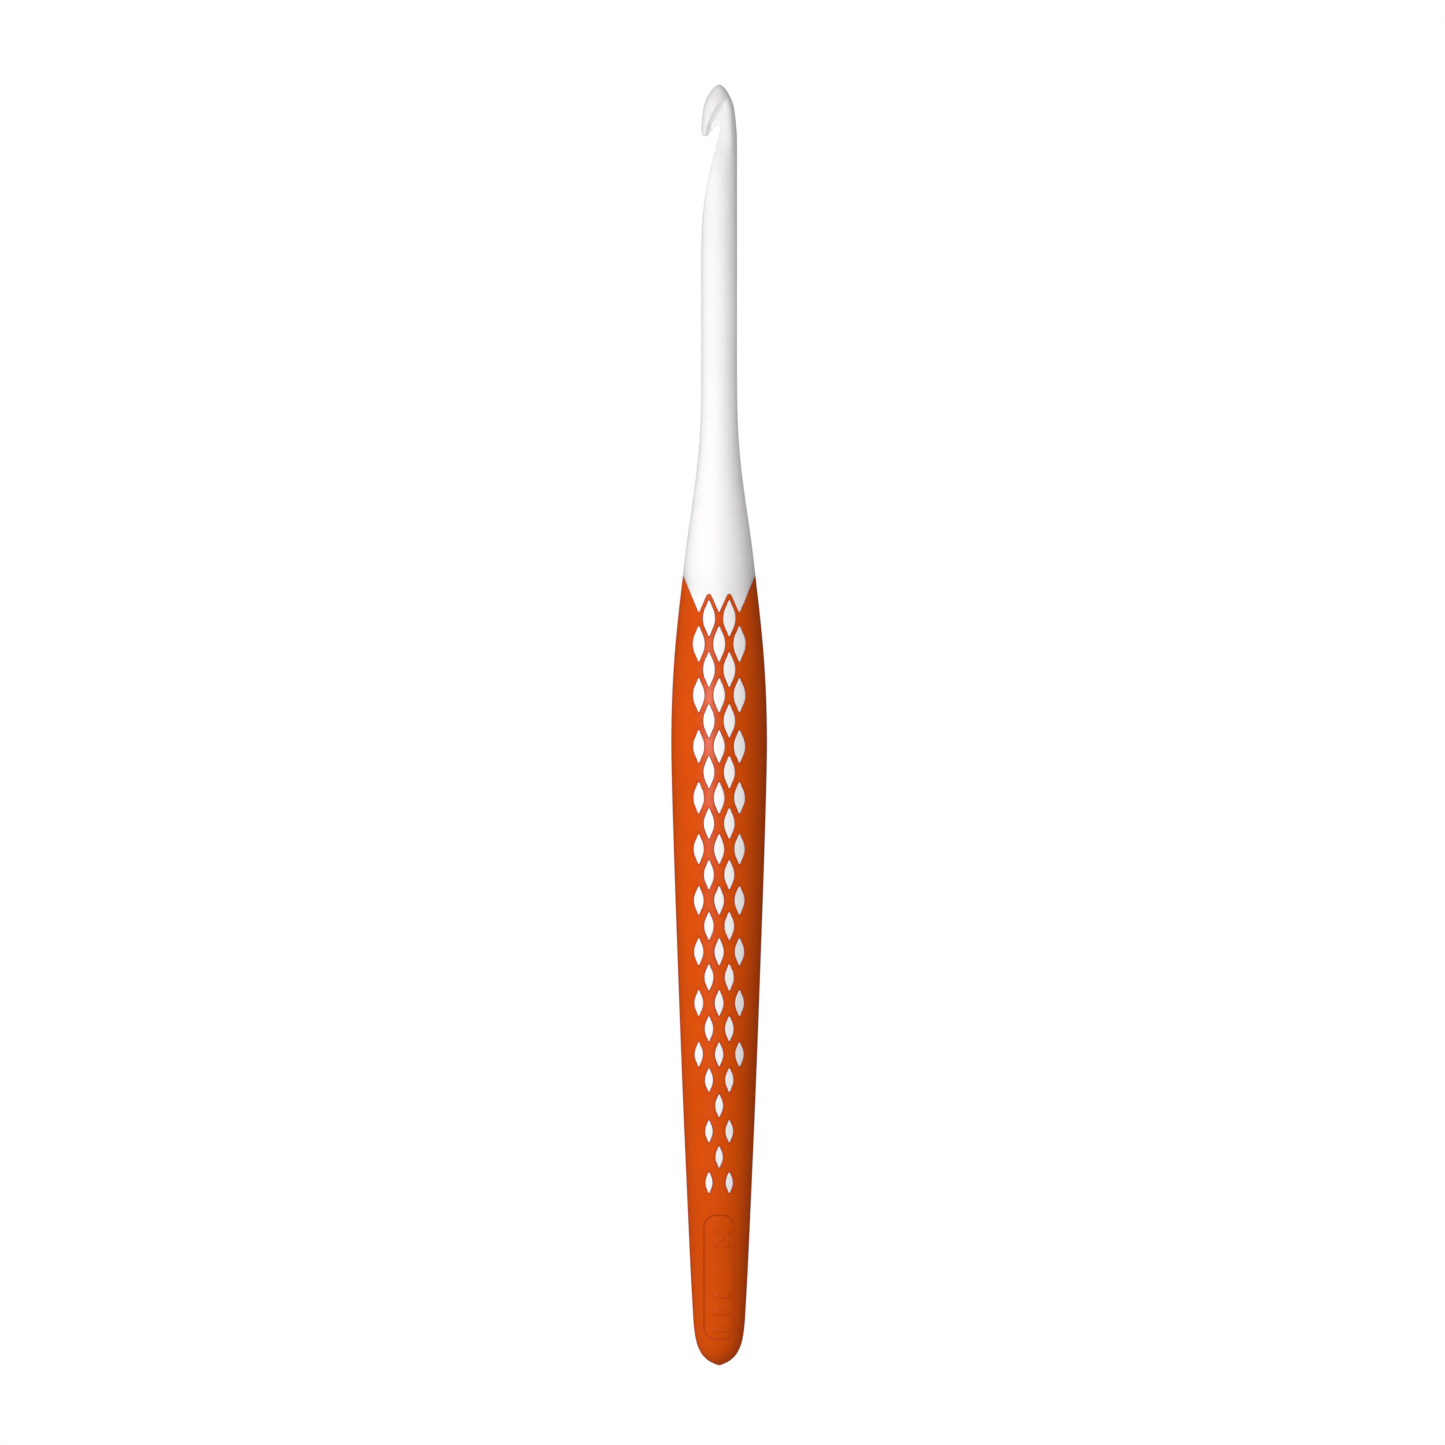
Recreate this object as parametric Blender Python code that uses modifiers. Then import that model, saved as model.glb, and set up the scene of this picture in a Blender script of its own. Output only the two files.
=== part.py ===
"""Two-component crochet hook, nominal size 5 mm, lying on its belly along X.

+X points to the tip, +Z is the face with the window lattice and the size panel,
+Y is the side that the throat opens to. Z = 0 is the surface it lies on and the
origin is under the middle of its length. Metres throughout.
"""

import math

import bmesh
import bpy
from mathutils import Matrix, Vector

MM = 0.001

# ---------------------------------------------------------------- driving dimensions (mm)
LENGTH = 179.3          # tip to tail
SHAFT_R = 2.5           # nominal hook size 5.0 mm is the shaft's diameter
BELLY_R = 6.73          # thickest place of the handle
BELLY_U = 87.5          # its distance from the tail
SKIN = 1.2              # thickness of the soft sleeve
CLEAR = 0.06            # gap between the two mouldings, all round
WINDOW_DROP = 0.03      # the lenses' tops stay this far under the sleeve's surface
FACET_HOLLOW = 0.05     # hollow of the long facets that the hook rests on
SEGMENTS = 24           # sides of every turned body
HEAD_LENGTH = 24.0      # length of the head's own solid, throat and ramp included

# handle profile: (distance from the tail, radius)
HANDLE = (
    (0.0, 0.0), (0.18, 0.62), (0.74, 1.65), (1.86, 2.63), (3.5, 3.25), (5.6, 3.56),
    (9.0, 3.78), (23.0, 4.46), (39.9, 5.19), (56.7, 5.82), (73.5, 6.40), (80.5, 6.60),
    (BELLY_U, BELLY_R), (93.1, 6.62), (98.7, 6.32), (104.3, 5.81), (110.5, 5.09),
    (115.5, 4.50), (121.1, 3.67), (126.7, 2.96), (132.3, 2.58), (138.0, SHAFT_R),
)
# head profile: (distance back from the tip, radius)
HEAD = (
    (0.0, 0.0), (0.2, 0.49), (0.76, 1.06), (1.6, 1.60), (2.4, 1.97),
    (3.5, 2.22), (5.0, 2.39), (7.0, 2.48), (9.0, SHAFT_R),
)

# lattice of lens-shaped windows, counted from the wing edge towards the tail
ROW_PITCH = 3.592
COLUMN_PITCH = 1.438
FIRST_ROW_U = 104.59
ROWS = 23
WINDOW_WIDTH = (1.785, 1.085)    # first row, last row
WINDOW_HEIGHT = (5.145, 2.975)
LAST_THREE_WIDE_ROW = 18         # behind this row the odd rows keep only the middle window
WING_SLOPE = 0.433               # sideways travel of the wing edge per unit of length
WING_APEX_U = 110.5

# size panel in the tail
PANEL_U = (3.6, 21.0)
PANEL_HALF = 2.18
PANEL_CORNER = 1.65
PANEL_DEPTH = 0.12

# throat, as (distance back from the tip, height above the axis on the throat side)
CROWN = (6.21, 0.39)             # centre of the round end of the throat
CROWN_R = 0.55
LIP_TIP = (6.86, 2.08)           # centre of the lip's rounded end
LIP_TIP_R = 0.36
RAMP = ((6.4, -0.16), (7.8, 0.09), (11.2, 0.89), (14.8, 1.84), (17.8, 2.26), (21.8, 2.54))
# scoop in both faces of the head that leads the yarn into the throat
SCOOP_START = (6.3, 0.55)
SCOOP_END = (1.9, -0.85)
SCOOP_R = 0.75
SCOOP_DEPTH = (0.95, -0.1)       # below the face at its start, above it at its end


# ---------------------------------------------------------------- helpers
def monotone(table):
    """Smooth curve through a table's points that never overshoots them."""
    xs = [p[0] for p in table]
    ys = [p[1] for p in table]
    n = len(xs)
    slope = [(ys[i + 1] - ys[i]) / (xs[i + 1] - xs[i]) for i in range(n - 1)]
    tangent = [slope[0]] + [0.0] * (n - 2) + [slope[-1]]
    for i in range(1, n - 1):
        a, b = slope[i - 1], slope[i]
        if a * b > 0:
            wa = 2 * (xs[i + 1] - xs[i]) + (xs[i] - xs[i - 1])
            wb = (xs[i + 1] - xs[i]) + 2 * (xs[i] - xs[i - 1])
            tangent[i] = (wa + wb) / (wa / a + wb / b)

    def at(x):
        if x <= xs[0]:
            return ys[0]
        if x >= xs[-1]:
            return ys[-1]
        i = max(k for k in range(n - 1) if xs[k] <= x)
        h = xs[i + 1] - xs[i]
        t = (x - xs[i]) / h
        return (
            (2 * t**3 - 3 * t**2 + 1) * ys[i]
            + (t**3 - 2 * t**2 + t) * h * tangent[i]
            + (3 * t**2 - 2 * t**3) * ys[i + 1]
            + (t**3 - t**2) * h * tangent[i + 1]
        )

    return at


# the ends are blunt, so both tables are read against the root of the distance
_handle = monotone([(math.sqrt(u), r) for u, r in HANDLE])
_head = monotone([(math.sqrt(v), r) for v, r in HEAD])
ramp = monotone(RAMP)


def radius(u):
    """Outer radius at distance u from the tail."""
    if u < LENGTH / 2:
        return _handle(math.sqrt(max(u, 0.0)))
    if u < LENGTH - HEAD[-1][0]:
        return _handle(math.sqrt(u))
    return _head(math.sqrt(max(LENGTH - u, 0.0)))


def x_of(u):
    return u - LENGTH / 2


def new_object(name, mesh, collection, colour, rough):
    material = bpy.data.materials.new(name)
    material.use_nodes = True
    shader = material.node_tree.nodes["Principled BSDF"]
    shader.inputs["Base Color"].default_value = (*colour, 1.0)
    shader.inputs["Roughness"].default_value = rough
    shader.inputs["Metallic"].default_value = 0.0
    mesh.materials.clear()
    mesh.materials.append(material)
    thing = bpy.data.objects.new(name, mesh)
    collection.objects.link(thing)
    return thing


def turned(name, profile, collection, colour=(0.5, 0.5, 0.5), rough=0.5):
    """Solid of revolution about the tool's axis from (u, r) points that run towards the tail on the outer side."""
    mesh = bpy.data.meshes.new(name)
    # the sides' flats, not their corners, lie at the radius, and one flat faces each of +-Y and +-Z
    half = math.pi / SEGMENTS
    corner = MM / math.cos(half)
    points = [
        (r * corner * math.cos(half), r * corner * math.sin(half), x_of(u) * MM)
        for u, r in profile
    ]
    mesh.from_pydata(points, [(i, i + 1) for i in range(len(points) - 1)], [])
    thing = new_object(name, mesh, collection, colour, rough)
    thing.rotation_euler = (0.0, math.pi / 2, 0.0)
    thing.location = (0.0, 0.0, BELLY_R * MM)
    screw = thing.modifiers.new("turn", "SCREW")
    screw.axis = "Z"
    screw.angle = 2 * math.pi
    screw.steps = screw.render_steps = SEGMENTS
    screw.use_merge_vertices = True
    screw.merge_threshold = 1e-6
    screw.use_smooth_shade = True
    return thing


def prisms(name, outlines, low, high):
    """Closed prisms on flat outlines, from height low to high above the tool's axis, as one cutter."""
    curve = bpy.data.curves.new(name, "CURVE")
    curve.dimensions = "2D"
    curve.fill_mode = "BOTH"
    curve.extrude = (high - low) / 2 * MM
    for outline in outlines:
        spline = curve.splines.new("POLY")
        spline.points.add(len(outline) - 1)
        for point, (u, y) in zip(spline.points, outline):
            point.co = (x_of(u) * MM, y * MM, 0.0, 1.0)
        spline.use_cyclic_u = True
    drawn = bpy.data.objects.new(name + "_outline", curve)
    bpy.context.scene.collection.objects.link(drawn)
    drawn.location = (0.0, 0.0, (BELLY_R + (low + high) / 2) * MM)
    bpy.context.view_layer.update()
    mesh = bpy.data.meshes.new_from_object(
        drawn.evaluated_get(bpy.context.evaluated_depsgraph_get())
    )
    weld(mesh)
    thing = bpy.data.objects.new(name, mesh)
    thing.matrix_world = drawn.matrix_world
    cutters.objects.link(thing)
    bpy.data.objects.remove(drawn)
    return as_cutter(thing)


def weld(mesh):
    bm = bmesh.new()
    bm.from_mesh(mesh)
    bmesh.ops.remove_doubles(bm, verts=bm.verts, dist=1e-7)
    bmesh.ops.recalc_face_normals(bm, faces=bm.faces)
    bm.to_mesh(mesh)
    bm.free()


def as_cutter(thing):
    thing.display_type = "WIRE"
    thing.hide_render = True
    return thing


def boolean(thing, operation, other, name):
    modifier = thing.modifiers.new(name, "BOOLEAN")
    modifier.operation = operation
    modifier.solver = "EXACT"
    modifier.object = other
    return modifier


def inset(outline, distance):
    """A counter-clockwise outline with every side moved inwards (outwards if negative)."""
    moved = []
    n = len(outline)
    for i in range(n):
        (ax, ay), (bx, by), (cx, cy) = outline[i - 1], outline[i], outline[(i + 1) % n]
        d1 = math.hypot(bx - ax, by - ay)
        d2 = math.hypot(cx - bx, cy - by)
        n1 = (-(by - ay) / d1, (bx - ax) / d1)
        n2 = (-(cy - by) / d2, (cx - bx) / d2)
        scale = distance / (1 + n1[0] * n2[0] + n1[1] * n2[1])
        moved.append((bx + (n1[0] + n2[0]) * scale, by + (n1[1] + n2[1]) * scale))
    return moved


# ---------------------------------------------------------------- window lattice
def window_size(row):
    t = row / (ROWS - 1)
    return (
        WINDOW_WIDTH[0] + (WINDOW_WIDTH[1] - WINDOW_WIDTH[0]) * t,
        WINDOW_HEIGHT[0] + (WINDOW_HEIGHT[1] - WINDOW_HEIGHT[0]) * t,
    )


def columns(row):
    if row % 2 == 0:
        return (-1, 1)
    return (-2, 0, 2) if row < LAST_THREE_WIDE_ROW else (0,)


def row_u(row):
    return FIRST_ROW_U - ROW_PITCH * row


def lens(row, column):
    """One window: pointed at both ends, straight flanks, rounded waist. Counter-clockwise."""
    width, height = window_size(row)
    half = [(1.0, 0.0), (0.37, 0.80), (0.0, 1.0), (-0.37, 0.80), (-1.0, 0.0)]
    outline = half + [(a, -b) for a, b in half[-2:0:-1]]
    return [
        (row_u(row) + a * height / 2, column * COLUMN_PITCH + b * width / 2)
        for a, b in outline
    ]


def wing_edge():
    """The zigzag front edge of the sleeve, drawn with the white region that lies in front of it. Counter-clockwise."""
    width, height = window_size(-1)
    valley = row_u(-1) - height / 2            # tips of the white points between the windows
    peak = row_u(0) + window_size(0)[1] / 2 + 0.8   # crest of the band around the first windows
    flat_v, flat_p = 0.10, 0.22
    points = []
    reach = 2 * COLUMN_PITCH + flat_v + WING_SLOPE * 16.0
    points.append((valley + 16.0, -reach))
    for k in (-2, -1, 0, 1, 2):
        if k % 2 == 0:
            points += [(valley, k * COLUMN_PITCH - flat_v), (valley, k * COLUMN_PITCH + flat_v)]
        else:
            points += [(peak, k * COLUMN_PITCH - flat_p), (peak, k * COLUMN_PITCH + flat_p)]
    points.append((valley + 16.0, reach))
    return points


def front_region(points, back):
    """Closes the zigzag round everything in front of it, as far as distance back from the tail."""
    reach = points[-1][1]
    outline = points + [(back, reach), (back, -reach)]
    return outline[::-1]


# ---------------------------------------------------------------- start
for thing in list(bpy.data.objects):
    bpy.data.objects.remove(thing)

hook = bpy.data.collections.new("crochet_hook")
cutters = bpy.data.collections.new("cutters")
bpy.context.scene.collection.children.link(hook)
bpy.context.scene.collection.children.link(cutters)

WHITE = (0.86, 0.85, 0.84)
ORANGE = (0.70, 0.085, 0.004)

# stations of the turned bodies: close together in the round ends and the flare, wide apart on the taper
# the long flat from 56.7 to 79 mm lies under the centre of mass, so that the hook comes to rest on it
handle_stations = [0.12, 0.42, 0.9, 1.7, 2.8, 4.2, 6.2, 10.0, 20.0, 31.0, 42.0, 56.7, 79.0,
                   BELLY_U, 92.5, 96.5, 100.0, 103.5, 107.0, 110.5, 113.0]
flare_stations = [115.5, 118.3, 121.1, 123.9, 126.7, 129.5, 133.0, 138.0]
head_stations = [LENGTH - v for v in (9.0, 6.4, 4.6, 3.4, 2.5, 1.8, 1.2, 0.72, 0.34, 0.1)]


def outer(stations, change=0.0):
    return [(u, radius(u) + change) for u in stations]


def hollowed(stations, change=0.0):
    """The same, with the four long facets under the handle hollowed by a hair, so that the hook rests on their corners and never on a window's edge."""
    points = outer(sorted(stations), change)
    made = []
    for a, b in zip(points, points[1:]):
        made.append(a)
        if b[0] - a[0] > 8.0 and 30.0 < a[0] < BELLY_U:
            for share in (0.15, 0.85):
                made.append((a[0] + (b[0] - a[0]) * share, a[1] + (b[1] - a[1]) * share - FACET_HOLLOW))
    return (made + points[-1:])[::-1]


# ---------------------------------------------------------------- hook_core: shaft, flare and handle core of the hard white moulding
split = LENGTH - HEAD_LENGTH
profile = [(split - CLEAR, 0.0), (split - CLEAR, SHAFT_R)]
profile += outer(sorted(flare_stations + [u for u in handle_stations if u > 104.0], reverse=True))
profile += hollowed([u for u in handle_stations if u <= 104.0], -WINDOW_DROP) + [(0.0, 0.0)]
core = turned("hook_core", profile, hook, WHITE, 0.35)

lattice = [lens(row, column) for row in range(ROWS) for column in columns(row)]
edge = wing_edge()
white_region = inset(front_region(edge, LENGTH + 2.0), CLEAR)
raised = prisms(
    "raised_areas",
    [inset(window, CLEAR) for window in lattice] + [white_region],
    -BELLY_R - 1.0,
    BELLY_R + 1.0,
)
boolean(core, "INTERSECT", raised, "windows and front")

# the round bar under the sleeve that carries the raised lenses
inner_stations = [u for u in handle_stations if 2.0 < u < 112.0]
bar_profile = (
    [(114.0, 0.0), (114.0, radius(114.0) - SKIN)]
    + outer(sorted(inner_stations, reverse=True), -SKIN)
    + [(1.6, 1.15), (1.2, 0.0)]
)
bar = as_cutter(turned("bar_blank", bar_profile, cutters))
boolean(core, "UNION", bar, "bar under the sleeve")

# ---------------------------------------------------------------- hook_head: the same moulding's head, throat and ramp
profile = [(LENGTH, 0.0)] + outer(sorted(head_stations, reverse=True)) + [(split, SHAFT_R), (split, 0.0)]
head = turned("hook_head", profile, hook, WHITE, 0.35)


def throat_outline():
    """The notch seen from its broad side, as (u, y)."""
    cv, ct = CROWN
    points = []
    # ramp from the shaft down to the neck
    for k in range(9):
        v = 21.8 + (6.6 - 21.8) * k / 8
        points.append((v, ramp(v)))
    # round end
    end = math.radians(62)
    for k in range(7):
        a = math.pi + (end - math.pi) * k / 6
        points.append((cv - CROWN_R * math.sin(a), ct + CROWN_R * math.cos(a)))
    # rounded lip, from its inner face round to the outside of the head
    lv, lt = LIP_TIP
    for k in range(5):
        a = math.radians(195 + (350 - 195) * k / 4)
        points.append((lv - LIP_TIP_R * math.sin(a), lt + LIP_TIP_R * math.cos(a)))
    points += [(lv - 0.1, 3.4), (23.0, 3.4), (23.0, 2.56)]
    return [(LENGTH - v, t) for v, t in points]


throat = prisms("throat_cutter", [throat_outline()], -4.0, 4.0)
boolean(head, "DIFFERENCE", throat, "throat")


def scoop_cutter(side):
    """A slanted round bar that hollows one face of the head and runs out towards the tip."""
    z0 = math.sqrt(radius(LENGTH - SCOOP_START[0]) ** 2 - SCOOP_START[1] ** 2) - SCOOP_DEPTH[0] + SCOOP_R
    z1 = math.sqrt(radius(LENGTH - SCOOP_END[0]) ** 2 - SCOOP_END[1] ** 2) - SCOOP_DEPTH[1] + SCOOP_R
    a = Vector((x_of(LENGTH - SCOOP_START[0]), SCOOP_START[1], side * z0 + BELLY_R)) * MM
    b = Vector((x_of(LENGTH - SCOOP_END[0]), SCOOP_END[1], side * z1 + BELLY_R)) * MM
    along = (b - a).normalized()
    a, b = a - along * 0.6 * MM, b + along * 0.4 * MM
    turn = along.to_track_quat("Z", "Y").to_matrix().to_4x4()
    bm = bmesh.new()
    bmesh.ops.create_cone(
        bm, cap_ends=True, segments=16, radius1=SCOOP_R * MM, radius2=SCOOP_R * MM,
        depth=(b - a).length, matrix=Matrix.Translation((a + b) / 2) @ turn,
    )
    name = "scoop_cutter_" + ("front" if side > 0 else "back")
    mesh = bpy.data.meshes.new(name)
    bm.to_mesh(mesh)
    bm.free()
    thing = bpy.data.objects.new(name, mesh)
    cutters.objects.link(thing)
    return as_cutter(thing)


for side in (1, -1):
    boolean(head, "DIFFERENCE", scoop_cutter(side), "scoop")

# ---------------------------------------------------------------- soft_grip: the overmoulded orange sleeve
rim = 113.0
sleeve_stations = [u for u in handle_stations if u <= rim]
inner_side = [(0.9, 0.0), (1.32, 1.15 + CLEAR)] + outer(sorted(inner_stations), CLEAR - SKIN)
inner_side += [(rim, radius(rim) + CLEAR - SKIN)]
profile = inner_side + hollowed(sleeve_stations) + [(0.0, 0.0)]
grip = turned("soft_grip", profile, hook, ORANGE, 0.5)
openings = prisms(
    "window_cutters",
    lattice + [front_region(edge, 130.0)],
    -BELLY_R - 1.0,
    BELLY_R + 1.0,
)
boolean(grip, "DIFFERENCE", openings, "windows and wings")


def panel_outline():
    points = []
    corners = (
        (PANEL_U[1] - PANEL_CORNER, PANEL_HALF - PANEL_CORNER, 0),
        (PANEL_U[0] + PANEL_CORNER, PANEL_HALF - PANEL_CORNER, 90),
        (PANEL_U[0] + PANEL_CORNER, PANEL_CORNER - PANEL_HALF, 180),
        (PANEL_U[1] - PANEL_CORNER, PANEL_CORNER - PANEL_HALF, 270),
    )
    for u, y, start in corners:
        for k in range(4):
            a = math.radians(start + 30 * k)
            points.append((u + PANEL_CORNER * math.cos(a), y + PANEL_CORNER * math.sin(a)))
    return points


panel = prisms("panel_cutter", [panel_outline()], 0.5, BELLY_R)
floor_profile = [(24.0, 0.0)] + outer([24.0, 20.0, 10.0, 6.2, 4.2, 2.8, 1.7, 0.9], -PANEL_DEPTH) + [(0.5, 0.0)]
panel_floor = as_cutter(turned("panel_floor", floor_profile, cutters))
boolean(panel, "DIFFERENCE", panel_floor, "floor")
boolean(grip, "DIFFERENCE", panel, "size panel")

bpy.context.view_layer.update()
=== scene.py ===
"""Looks of the two-component crochet hook: the soft sleeve and the hard white moulding, each as one
closed smooth mesh, with procedural materials, on a plain white floor.

The meshes are worked out in millimetres. u is the distance from the tail, v the distance back from the
tip, phi the angle round the axis from the upper face towards the side that the throat opens to, and d
the height above the handle's outer surface.
"""

import math

import bmesh
import bpy
import numpy as np
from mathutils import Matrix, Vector, kdtree
from mathutils.geometry import delaunay_2d_cdt


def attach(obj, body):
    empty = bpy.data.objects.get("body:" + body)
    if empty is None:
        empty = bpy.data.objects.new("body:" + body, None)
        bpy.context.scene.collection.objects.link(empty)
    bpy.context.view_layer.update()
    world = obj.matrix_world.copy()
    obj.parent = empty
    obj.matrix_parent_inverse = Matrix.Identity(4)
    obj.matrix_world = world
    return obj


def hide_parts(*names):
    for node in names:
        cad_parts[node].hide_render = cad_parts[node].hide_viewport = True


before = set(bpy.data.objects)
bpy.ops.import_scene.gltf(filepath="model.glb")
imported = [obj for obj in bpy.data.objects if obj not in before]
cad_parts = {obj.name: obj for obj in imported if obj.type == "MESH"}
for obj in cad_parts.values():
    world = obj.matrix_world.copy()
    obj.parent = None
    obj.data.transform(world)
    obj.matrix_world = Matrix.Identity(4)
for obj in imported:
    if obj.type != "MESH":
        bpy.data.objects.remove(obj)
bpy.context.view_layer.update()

MM = 0.001
LENGTH = 179.3
HALF = LENGTH / 2
AXIS = 6.73             # height of the tool's axis above the floor
SKIN = 1.15             # thickness of the soft sleeve
UNDER = -1.26           # surface of the hard core under the sleeve
MEAN_R = 5.5            # radius that the flat drawing of the handle is scaled to
QUARTER = math.pi / 2

HANDLE = (
    (0.0, 0.0), (0.18, 0.62), (0.74, 1.65), (1.86, 2.63), (3.5, 3.25), (5.6, 3.56),
    (9.0, 3.78), (23.0, 4.46), (39.9, 5.19), (56.7, 5.82), (73.5, 6.40), (80.5, 6.60),
    (87.5, 6.73), (93.1, 6.62), (98.7, 6.32), (104.3, 5.81), (110.5, 5.09),
    (115.5, 4.50), (121.1, 3.67), (126.7, 2.96), (132.3, 2.58), (138.0, 2.5),
)
HEAD = (
    (0.0, 0.0), (0.2, 0.46), (0.76, 1.00), (1.6, 1.53), (2.4, 1.90),
    (3.5, 2.18), (5.0, 2.36), (7.0, 2.48), (9.0, 2.5),
)

ROW_PITCH = 3.592
COLUMN_PITCH = 1.438
FIRST_ROW_U = 104.59
ROWS = 23
WINDOW_WIDTH = (1.785, 1.085)
WINDOW_HEIGHT = (5.145, 2.975)
LAST_THREE_WIDE_ROW = 18


# ---------------------------------------------------------------- curves
def monotone(table, flat_end=False):
    """Smooth curve through a table's points that never overshoots them."""
    xs = np.array([p[0] for p in table], float)
    ys = np.array([p[1] for p in table], float)
    h = np.diff(xs)
    m = np.diff(ys) / h
    tangent = np.zeros(len(xs))
    tangent[0] = m[0]
    tangent[-1] = 0.0 if flat_end else m[-1]
    for i in range(1, len(xs) - 1):
        a, b = m[i - 1], m[i]
        if a * b > 0:
            wa, wb = 2 * h[i] + h[i - 1], h[i] + 2 * h[i - 1]
            tangent[i] = (wa + wb) / (wa / a + wb / b)

    def at(x):
        x = np.clip(np.asarray(x, float), xs[0], xs[-1])
        i = np.clip(np.searchsorted(xs, x, side="right") - 1, 0, len(h) - 1)
        t = (x - xs[i]) / h[i]
        return (
            (2 * t**3 - 3 * t**2 + 1) * ys[i]
            + (t**3 - 2 * t**2 + t) * h[i] * tangent[i]
            + (3 * t**2 - 2 * t**3) * ys[i + 1]
            + (t**3 - t**2) * h[i] * tangent[i + 1]
        )

    return at


def bell(sigma):
    """Gaussian weights, sigma in samples."""
    m = int(math.ceil(4 * sigma))
    w = np.exp(-0.5 * (np.arange(-m, m + 1) / sigma) ** 2)
    return w / w.sum()


def ease(x):
    x = np.clip(x, 0.0, 1.0)
    return x * x * (3 - 2 * x)


_tail = monotone([(math.sqrt(u), r) for u, r in HANDLE], True)
_head = monotone([(math.sqrt(v), r) for v, r in HEAD], True)
FINE = 0.05
grid_u = np.arange(0.0, 170.0, FINE)
_raw = _tail(np.sqrt(grid_u))
_w = bell(2.0 / FINE)
_soft = np.convolve(np.pad(_raw, len(_w) // 2, mode="edge"), _w, "valid")
_share = ease((grid_u - 9.0) / 8.0)
table_r = _raw * (1 - _share) + _soft * _share
table_slope = np.gradient(table_r, FINE)


def radius(u):
    u = np.asarray(u, float)
    return np.where(u < 9.0, _tail(np.sqrt(np.maximum(u, 0.0))), np.interp(u, grid_u, table_r))


def slope(u):
    u = np.asarray(u, float)
    s = np.sqrt(np.maximum(u, 1e-5))
    near = (_tail(s + 1e-3) - _tail(np.maximum(s - 1e-3, 0.0))) / (s + 1e-3 - np.maximum(s - 1e-3, 0.0)) / (2 * s)
    return np.where(u < 9.0, near, np.interp(u, grid_u, table_slope))


def place(u, phi, d=0.0):
    """Points at height d above the outer surface."""
    rise = slope(u)
    k = 1 / np.sqrt(1 + rise * rise)
    rho = radius(u) + d * k
    return np.stack(
        [u - HALF - d * rise * k, rho * np.sin(phi), AXIS + rho * np.cos(phi)], -1
    )


def facing(u, phi):
    """The outer surface's normals."""
    rise = slope(u)
    k = 1 / np.sqrt(1 + rise * rise)
    return np.stack([-rise * k, k * np.sin(phi), k * np.cos(phi)], -1)


# the handle's surface rolled out without distorting angles: s round it, w along it
_along = np.concatenate([[0.0], np.cumsum(MEAN_R / np.maximum((table_r[1:] + table_r[:-1]) / 2, 0.2) * FINE)])


def flat(u, phi):
    return np.stack([MEAN_R * np.asarray(phi, float), np.interp(u, grid_u, _along)], -1)


def unrolled_u(w):
    return np.interp(w, _along, grid_u)


# ---------------------------------------------------------------- outlines on the handle
def evenly(points, step, closed):
    p = np.vstack([points, points[:1]]) if closed else points
    run = np.concatenate([[0.0], np.cumsum(np.hypot(*np.diff(p, axis=0).T))])
    n = max(16, int(round(run[-1] / step)))
    at = np.linspace(0.0, run[-1], n + 1)
    if closed:
        at = at[:-1]
    return np.stack([np.interp(at, run, p[:, 0]), np.interp(at, run, p[:, 1])], 1)


def rounded(points, sigma, before, after):
    w = bell(sigma)
    p = np.vstack([before, points, after])
    return np.stack(
        [np.convolve(p[:, c], w, "same")[len(before):len(before) + len(points)] for c in (0, 1)], 1
    )


def thinned(dense, closed, fine, coarse, turn):
    """Points along an even, dense curve, close together where it bends, and its right-hand normals there."""
    if closed:
        tangent = np.roll(dense, -1, 0) - np.roll(dense, 1, 0)
        step = np.hypot(*(np.roll(dense, -1, 0) - dense).T)
    else:
        tangent = np.gradient(dense, axis=0)
        step = np.hypot(*np.gradient(dense, axis=0).T)
    tangent /= np.hypot(*tangent.T)[:, None]
    angle = np.arctan2(tangent[:, 1], tangent[:, 0])
    if closed:
        change = np.roll(angle, -1) - np.roll(angle, 1)
    else:
        change = 2 * np.gradient(np.unwrap(angle))
    change = np.abs((change + math.pi) % (2 * math.pi) - math.pi) / 2
    bend = change / step
    w = bell(3.0)
    pad = len(w) // 2
    bend = np.convolve(np.pad(bend, pad, mode="wrap" if closed else "edge"), w, "valid")
    density = step / np.clip(turn / np.maximum(bend, 1e-6), fine, coarse)
    index = np.arange(len(dense) + (1 if closed else 0))
    if closed:
        run = np.concatenate([[0.0], np.cumsum(density)])
        n = 4 * int(round(run[-1] / 4))
        at = np.interp(np.linspace(0, run[-1], n + 1)[:-1], run, index)
        ring = np.vstack([dense, dense[:1]])
        along = np.vstack([tangent, tangent[:1]])
    else:
        run = np.concatenate([[0.0], np.cumsum((density[1:] + density[:-1]) / 2)])
        n = 2 * int(round(run[-1] / 2))
        at = np.interp(np.linspace(0, run[-1], n + 1), run, index)
        ring, along = dense, tangent
    p = np.stack([np.interp(at, index, ring[:, c]) for c in (0, 1)], 1)
    t = np.stack([np.interp(at, index, along[:, c]) for c in (0, 1)], 1)
    t /= np.hypot(*t.T)[:, None]
    return p, np.stack([t[:, 1], -t[:, 0]], 1)


INSET = 0.08
_lens = monotone([(0, 0), (0.15, 0.19), (0.34, 0.425), (0.61, 0.80), (0.80, 0.95), (1, 1)], True)


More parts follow.
